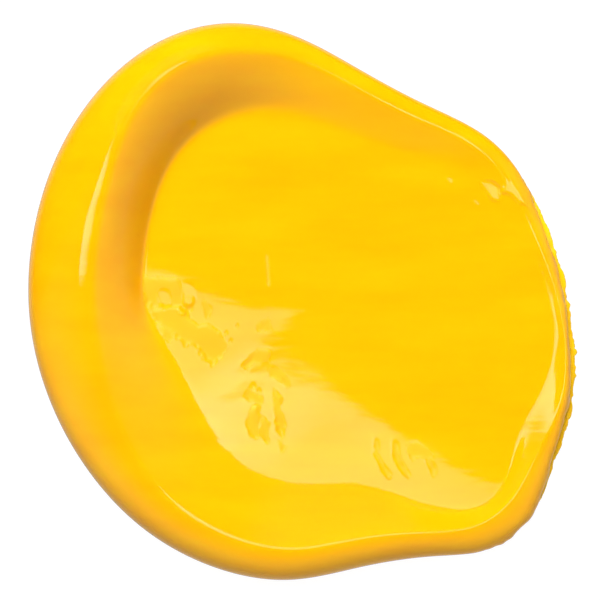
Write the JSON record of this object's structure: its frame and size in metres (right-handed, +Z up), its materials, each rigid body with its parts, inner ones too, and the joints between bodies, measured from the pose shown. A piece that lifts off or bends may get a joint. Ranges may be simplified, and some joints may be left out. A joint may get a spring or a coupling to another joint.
{
  "type": "paint dab",
  "caption": "Knife-swept dab of thick glossy yellow paint: a rounded bead round a shallow swept well, with a thin torn film edge at the lip.",
  "frame": {"origin": "middle of the dab's box, on its flat underside, which lies on the surface that was painted", "axes": "+Z up out of the surface, -X towards the thickest part of the bead, +X towards the low lip where the knife left the paint"},
  "size_m": [0.0498, 0.0506, 0.0057],
  "materials": {
    "thick_paint": "wet gloss",
    "thin_paint": "wet gloss"
  },
  "bodies": {
    "root": {"paint_body": "thick_paint", "swept_film": "thin_paint"}
  },
  "joints": []
}
